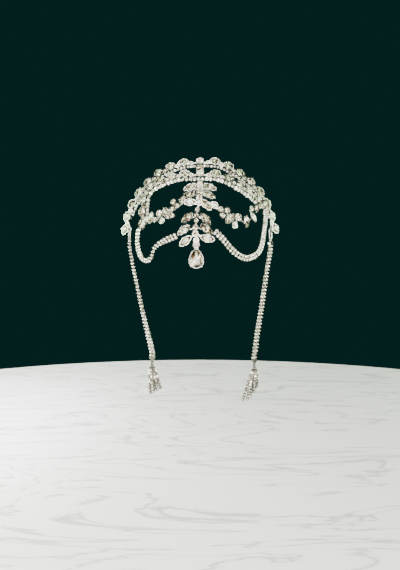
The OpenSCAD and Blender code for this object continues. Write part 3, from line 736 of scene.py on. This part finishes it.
# The two lower swags: double cup-chain, two rows soldered side by side, in a greyer plating, draped
# under the middle swags. The left one turns on its edge where it comes round the side.
SWAG_PITCH = 4.3
SWAG_ASIDE = 1.75
swag_silver = silver_plate("swag_silver", (0.40, 0.38, 0.33), (0.14, 0.12, 0.10), 0.16, 0.34)
DRAPE_LEAN = 0.6
lower_left_route = [
    (-25.2, -93, -71.1, 15), (-36, -88, -76, 35), (-44, -83.5, -80, 55), (-49.5, -80, -84.5, 85),
    (-52.5, -78, -90.5, 110), (-54.5, -76, -96, 90), (-59.5, -71, -100, 45), (-65.5, -62, -98, 10),
    (-69.5, -54.5, -92, 0), (-72, -46, -82, 0), (-72.2, -42, -74.5, 0), (-70.9, -38.7, -65.2, 0)]
lower_right_route = [
    (15.5, -95, -66, 0), (24, -94, -74, 0), (35, -91, -87, 0), (44, -86, -94, 0),
    (52, -79, -97, 0), (61, -69, -95, 0), (68, -59, -89, 0), (72, -49, -78, 0), (75, -36, -65, 0),
    (77, -25, -53, 0), (77, -18.2, -45.5, 0)]
swag_cup = small_cup("swag_cup", 3.5, 3.45, 2.3, SWAG_PITCH, metal=swag_silver,
                     foot=(0.2, 0.8), edge=0.2)


def double_places(line, outs, pitch, aside):
    """Places for two rows of cups, one on each side of a line."""
    for side in (-1, 1):
        yield from cup_places(line, outs, pitch, aside=side * aside)


def turned_outward(rows):
    """The face of a draped chain along its route, turned about its run by the fourth column."""
    outs = []
    last = len(rows) - 1
    for number, row in enumerate(rows):
        out = outward(row.to_3d(), DRAPE_LEAN)
        run = rows[min(number + 1, last)].to_3d() - rows[max(number - 1, 0)].to_3d()
        turn = math.radians(row[3])
        outs.append(out * math.cos(turn) + out.cross(run).normalized() * math.sin(turn))
    return outs


for side, route in (("left", lower_left_route), ("right", lower_right_route)):
    rows = smooth_line(route)
    line = [row.to_3d() for row in rows]
    cup_chain(f"lower_swag_{side}_cup_chain", swag_cup,
              double_places(line, turned_outward(rows), SWAG_PITCH, SWAG_ASIDE),
              f"lower_swag_{side}")


# The findings between arcs, chains and tassels: jump rings, long links and end caps, bent from
# drawn wire and pressed from sheet. Those above the chains have a brighter and smoother plating
# than the castings. The lower caps and the tassels' links take the near-black silver of the
# tassels, whose darkness is painted shade, standing in for the shadow in the gaps between the
# tassels' stones.
drawn_silver = silver_plate("drawn_silver", (0.66, 0.64, 0.59), (0.34, 0.31, 0.27), 0.08, 0.20)
# Painted shade: the tassels' silver is near black, for the shadowed gaps between their stones.
tassel_silver_painted_shade = silver_plate("tassel_silver_painted_shade", (0.10, 0.09, 0.075), (0.05, 0.04, 0.03), 0.18, 0.36)
for side in ("left", "right"):
    for finding in ("ring", "link", "top_cap"):
        nodes[f"{finding}_{side}"].data.materials[0] = drawn_silver
    for finding in ("bottom_cap", "tassel_link"):
        nodes[f"{finding}_{side}"].data.materials[0] = tassel_silver_painted_shade


# The chains at the sides: broad double cup-chain on a broad band, clamped in its end caps. The left
# one hangs edge-on at its top and turns to the front further down, the right one is half turned.
SIDE_PITCH = 4.1
SIDE_ASIDE = 1.85
side_left_route = [
    (-85, -6, -82, 80), (-85, -6, -88, 80), (-83, -7, -100, 80), (-78, -8, -126, 75),
    (-71, -10, -160, 65), (-64, -12, -190, 50), (-59, -14, -211, 35), (-58, -14, -216, 30),
    (-58, -14, -221, 30)]
side_right_route = [
    (85, -6, -85, 55), (85, -6, -91, 55), (83, -7, -104, 55), (79, -8, -130, 52),
    (75, -10, -160, 50), (70, -12, -190, 48), (67, -14, -213, 45), (66, -14, -219, 45),
    (66, -14, -224, 45)]
# Painted shade: the side chains' silver is darker than the rows', to dim the lamps' reflections in
# their cups.
side_silver = silver_plate("side_silver", (0.50, 0.47, 0.40), (0.20, 0.18, 0.14), 0.16, 0.34)
side_cup = small_cup("side_cup", 3.6, 2.9, 3.4, SIDE_PITCH, metal=side_silver, foot=(0.5, 0.9),
                     band_share=0.9)
for side, route in (("left", side_left_route), ("right", side_right_route)):
    rows = smooth_line(route)
    line = [row.to_3d() for row in rows]
    outs = [Vector((math.copysign(math.sin(math.radians(row[3])), row[0]),
                    -math.cos(math.radians(row[3])), 0)) for row in rows]
    cup_chain(f"side_chain_{side}_cups", side_cup,
              double_places(line, outs, SIDE_PITCH, SIDE_ASIDE), f"side_chain_{side}", painted_dark_share=0.3)


# The tassels: five strands of single cup-chain under a small bar with a soldered loop, which hangs
# in the link below each side chain.
STRAND_PITCH = 3.6
tassel_left_ends = [(-61, -15, -268), (-57, -18, -266), (-54, -12, -265), (-51, -17, -263),
                    (-47, -14, -262)]
tassel_right_ends = [(51, -14, -277), (57, -18, -275), (61, -12, -273), (65, -17, -266),
                     (69, -14, -261)]
STRAND_TURNS = (-25, -10, 12, 5, 25)
STRAND_SHORT = 1.0
STRAND_STEPS = 12
STRAND_BOW = Vector((0, -1.5, 0))
STRAND_GAP = 1.6
STRAND_STAGGER = 0.8
TASSEL_DEPTH = -14
HEAD_DROP = 4.5
BAR_HALF = 1.6
beige_glass = small_glass_finish("beige_glass", (1.0, 0.97, 0.90), (0.90, 0.82, 0.66), 0.10, 0.22)
strand_cup = small_cup("strand_cup", 3.7, 3.1, 2.8, STRAND_PITCH, metal=tassel_silver_painted_shade,
                       glass=beige_glass, foot=(0.9, 0.9), edge=0.42, band_share=0.9)


def strand_line(start, end):
    """A strand from the bar to its free end, bowed a little to the front."""
    shares = [step / STRAND_STEPS for step in range(STRAND_STEPS + 1)]
    return [start.lerp(end, share) + STRAND_BOW * math.sin(math.pi * share) for share in shares]


LOOP_RADIUS = 0.0016
LOOP_WIRE = 0.00045
LOOP_DROP = 0.0018
BAR_SIZE = (0.0069, 0.0045, 0.0023)
BAR_ROUNDING = 0.0006


def tassel_head(middle, top):
    """The bar and the loop above it, under a height in metres."""
    bpy.ops.mesh.primitive_torus_add(
        major_radius=LOOP_RADIUS, minor_radius=LOOP_WIRE, major_segments=16, minor_segments=6,
        location=(middle / 1000, TASSEL_DEPTH / 1000, top - LOOP_DROP),
        rotation=(math.pi / 2, 0, math.pi / 4))
    loop = bpy.context.object
    bpy.ops.object.transform_apply()
    bpy.ops.mesh.primitive_cube_add(
        size=1, location=(middle / 1000, TASSEL_DEPTH / 1000, top - HEAD_DROP / 1000))
    bar = bpy.context.object
    bar.dimensions = BAR_SIZE
    pick(bar)
    bpy.ops.object.transform_apply(location=True, rotation=True, scale=True)
    rounding = bar.modifiers.new("rounding", "BEVEL")
    rounding.width = BAR_ROUNDING
    rounding.segments = 2
    bpy.ops.object.modifier_apply(modifier=rounding.name)
    for part in (loop, bar):
        part.data.materials.append(tassel_silver_painted_shade)
    return [loop, bar]


for side, ends, middle in (("left", tassel_left_ends, -58), ("right", tassel_right_ends, 66)):
    low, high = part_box(f"tassel_{side}")
    top = Vector((middle, TASSEL_DEPTH, high.z * 1000 - HEAD_DROP))
    places = []
    for number, end in enumerate(ends):
        stagger = STRAND_STAGGER if number % 2 == 0 else -STRAND_STAGGER
        start = top + Vector((STRAND_GAP * (number - 2), stagger, -BAR_HALF))
        tip = Vector(end) + (start - Vector(end)).normalized() * STRAND_SHORT
        line = strand_line(start, tip)
        turn = math.radians(STRAND_TURNS[number])
        outs = [Vector((math.sin(turn), -math.cos(turn), 0)) for point in line]
        places += cup_places(line, outs, STRAND_PITCH)
    strands = cup_chain(f"tassel_{side}_strands", strand_cup, places, f"tassel_{side}", play=9)
    one_piece([strands, *tassel_head(middle, high.z)], f"tassel_{side}_strands")


# The drop: one pear-shaped stone in a cast setting with four claws, on a bail that swings on a pin
# behind the foot of the spine. The stone is cut as the others are, ground to a pear.
PEAR_WIDE, PEAR_TALL, PEAR_CROWN, PEAR_BASE, PEAR_POINT = 15, 20, 2.2, 3.6, 0.42
PEAR_KEEL_HALF = 0.0024
PEAR_KEEL_FOOT = -0.005
# Painted shade: the drop's silver is darker than the frames', to dim the bright ring that the
# setting's rim reflects round the pear.
drop_silver = silver_plate("drop_silver", (0.42, 0.40, 0.36), (0.13, 0.11, 0.10), 0.14, 0.30)
for cast_name in ("drop_yoke", "drop_setting"):
    nodes[cast_name].data.materials[0] = drop_silver


def pear_plan(corner):
    """A round stone's corner in the plan of a pear, its point towards +Y."""
    radius = math.hypot(corner.x, corner.y) or 1
    rise = max(corner.y / radius, 0)
    height = corner.z * (PEAR_CROWN / TABLE_HEIGHT if corner.z > 0 else PEAR_BASE / BASE_DEPTH)
    return Vector((corner.x * (1 - PEAR_POINT * rise ** 2) * PEAR_WIDE / 2,
                   corner.y * (PEAR_TALL - PEAR_WIDE / 2 if corner.y > 0 else PEAR_WIDE / 2),
                   height)) / 1000


low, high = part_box("drop_stone")
pear = recut(chaton, "drop_cut_stone", pear_plan)
pear_middle = Vector(((low.x + high.x) / 2, low.y + PEAR_CROWN / 1000, low.z + PEAR_WIDE / 2000))
# The pear's keel, down the middle of its back towards its point, gets the darkest foil: a painted
# reflection of the dark surroundings.
pear_keel = {face.index for face in pear.data.polygons
             if face.center.z < 0 and abs(face.center.x) < PEAR_KEEL_HALF
             and face.center.y > PEAR_KEEL_FOOT}
pear.data.transform(Matrix.Translation(pear_middle) @ Matrix.Rotation(math.pi / 2, 4, "X"))
give_tint(pear, pear_keel, painted_dark_share=0.42)
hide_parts("drop_stone")
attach(pear, "drop")

away_with(chaton, marquise, claw, back_row_cup, front_row_cup, swag_cup, side_cup, strand_cup)


# The studio: a pale round floor with faint veins under the piece, darker towards the right as
# painted shade, a dark green backdrop that only the camera sees, a brighter grey surrounding that
# lights the piece and shows in its reflections, and long soft lamps on both sides, above, behind
# and low in front. The camera stands in front of the piece, a little above its middle.
FLOOR_MIDDLE = (0, -0.4, -0.315)
FLOOR_RADIUS = 0.745
FLOOR_THICK = 0.03
VEIN_STRETCH = (2.2, 9, 9)
VEIN_SPACING = 0.06
VEIN_EDGE = 0.02
PAINTED_SHADE_REACH = 0.2
PAINTED_SHADE_DARKEST = 0.72


def floor_finish():
    """Pale stone with faint veins, darker towards the right as painted shade, where less light
    falls on it.
    """
    material, tree, shader = new_material("pale_floor")
    place = tree.nodes.new("ShaderNodeTexCoord")
    stretch = tree.nodes.new("ShaderNodeMapping")
    stretch.inputs["Scale"].default_value = VEIN_STRETCH
    cloud = tree.nodes.new("ShaderNodeTexNoise")
    cloud.inputs["Scale"].default_value = 1.6
    cloud.inputs["Detail"].default_value = 6
    cloud.inputs["Distortion"].default_value = 0.8
    tree.links.new(place.outputs["Object"], stretch.inputs["Vector"])
    tree.links.new(stretch.outputs["Vector"], cloud.inputs["Vector"])
    vein = tree.nodes.new("ShaderNodeMath")
    vein.operation = "PINGPONG"
    vein.inputs[1].default_value = VEIN_SPACING
    tree.links.new(cloud.outputs["Fac"], vein.inputs[0])
    line = tree.nodes.new("ShaderNodeMapRange")
    line.inputs["From Max"].default_value = VEIN_EDGE
    tree.links.new(vein.outputs["Value"], line.inputs["Value"])
    veined = shades(tree, line.outputs["Result"], (0.48, 0.47, 0.50), (0.86, 0.85, 0.90),
                    (0.91, 0.90, 0.95))
    sides = tree.nodes.new("ShaderNodeSeparateXYZ")
    tree.links.new(place.outputs["Object"], sides.inputs["Vector"])
    # Painted shade: the floor's colour is scaled down towards the right, as the light falls off
    # across it.
    painted_shade_ramp = tree.nodes.new("ShaderNodeMapRange")
    painted_shade_ramp.inputs["From Min"].default_value = -PAINTED_SHADE_REACH
    painted_shade_ramp.inputs["From Max"].default_value = PAINTED_SHADE_REACH
    painted_shade_ramp.inputs["To Min"].default_value = 1.0
    painted_shade_ramp.inputs["To Max"].default_value = PAINTED_SHADE_DARKEST
    tree.links.new(sides.outputs["X"], painted_shade_ramp.inputs["Value"])
    tone = tree.nodes.new("ShaderNodeVectorMath")
    tone.operation = "SCALE"
    tree.links.new(veined, tone.inputs[0])
    tree.links.new(painted_shade_ramp.outputs["Result"], tone.inputs["Scale"])
    tree.links.new(tone.outputs["Vector"], shader.inputs["Base Color"])
    shader.inputs["Roughness"].default_value = 0.55
    return material


bpy.ops.mesh.primitive_cylinder_add(
    vertices=96, radius=FLOOR_RADIUS, depth=FLOOR_THICK, location=FLOOR_MIDDLE)
floor = bpy.context.object
floor.name = "floor"
floor.data.materials.append(floor_finish())


def soft_lamp(name, place, target, size, power, colour):
    """A rectangular lamp at a place, turned to its target and unseen by the camera."""
    lamp = bpy.data.lights.new(name, "AREA")
    lamp.shape = "RECTANGLE"
    lamp.size, lamp.size_y = size
    lamp.energy = power
    lamp.color = colour
    holder = bpy.data.objects.new(name, lamp)
    holder.location = place
    holder.rotation_euler = (Vector(target) - Vector(place)).to_track_quat("-Z", "Y").to_euler()
    holder.visible_camera = False
    bpy.context.scene.collection.objects.link(holder)


MIDDLE = (0, -0.04, -0.12)
soft_lamp("top_front_lamp", (0, -0.75, 0.80), MIDDLE, (0.9, 0.10), 10, (1, 0.98, 0.86))
soft_lamp("top_lamp", (0, -0.35, 1.0), MIDDLE, (0.9, 0.14), 9, (1, 0.98, 0.86))
soft_lamp("top_back_lamp", (0, 0.15, 1.0), MIDDLE, (0.9, 0.14), 5, (1, 0.98, 0.86))
soft_lamp("left_lamp", (-1.0, -0.55, 0.15), MIDDLE, (0.14, 0.9), 13, (0.78, 1, 0.72))
soft_lamp("left_front_lamp", (-0.6, -1.0, 0.1), MIDDLE, (0.12, 0.8), 9, (1, 0.98, 0.85))
soft_lamp("right_lamp", (1.0, -0.55, 0.15), MIDDLE, (0.14, 0.9), 10, (0.78, 1, 0.72))
soft_lamp("right_front_lamp", (0.6, -1.0, 0.1), MIDDLE, (0.12, 0.8), 6, (1, 0.99, 0.87))
soft_lamp("front_high_lamp", (-0.1, -1.1, 0.24), MIDDLE, (0.7, 0.12), 6, (1, 0.97, 0.87))
soft_lamp("near_left_lamp", (-0.3, -1.1, -0.02), MIDDLE, (0.12, 0.4), 3, (1, 0.97, 0.87))
soft_lamp("near_right_lamp", (0.3, -1.1, -0.02), MIDDLE, (0.12, 0.4), 3, (1, 0.97, 0.87))
soft_lamp("low_lamp", (0.1, -1.1, -0.2), MIDDLE, (0.6, 0.08), 3, (1, 0.97, 0.89))
soft_lamp("back_left_lamp", (-1.1, 0.15, 0.2), MIDDLE, (0.3, 0.8), 9, (0.70, 1, 0.66))
soft_lamp("back_right_lamp", (1.1, 0.15, 0.2), MIDDLE, (0.3, 0.8), 9, (0.70, 1, 0.66))
soft_lamp("floor_lamp", (-0.38, -0.05, -0.12), (-0.38, -0.04, -0.3), (0.4, 0.4), 4, (1, 1, 1))

world = bpy.data.worlds.new("studio")
world.use_nodes = True
bpy.context.scene.world = world
sky = world.node_tree
seen = sky.nodes["Background"]
seen.inputs["Color"].default_value = (0.0018, 0.0200, 0.0182, 1)
around = sky.nodes.new("ShaderNodeBackground")
around.inputs["Color"].default_value = (0.105, 0.112, 0.088, 1)
which = sky.nodes.new("ShaderNodeLightPath")
choice = sky.nodes.new("ShaderNodeMixShader")
sky.links.new(which.outputs["Is Camera Ray"], choice.inputs["Fac"])
sky.links.new(around.outputs["Background"], choice.inputs[1])
sky.links.new(seen.outputs["Background"], choice.inputs[2])
sky.links.new(choice.outputs["Shader"], sky.nodes["World Output"].inputs["Surface"])

LOOK_AT = Vector((0, 0, -0.135))
LOOK_DOWN = math.radians(6)
CAMERA_DISTANCE = 0.9
FOCAL_LENGTH = 46.6
lens = bpy.data.cameras.new("camera")
lens.lens = FOCAL_LENGTH
camera = bpy.data.objects.new("camera", lens)
camera.location = LOOK_AT + CAMERA_DISTANCE * Vector((0, -math.cos(LOOK_DOWN), math.sin(LOOK_DOWN)))
camera.rotation_euler = (math.pi / 2 - LOOK_DOWN, 0, 0)
bpy.context.scene.collection.objects.link(camera)
bpy.context.scene.camera = camera
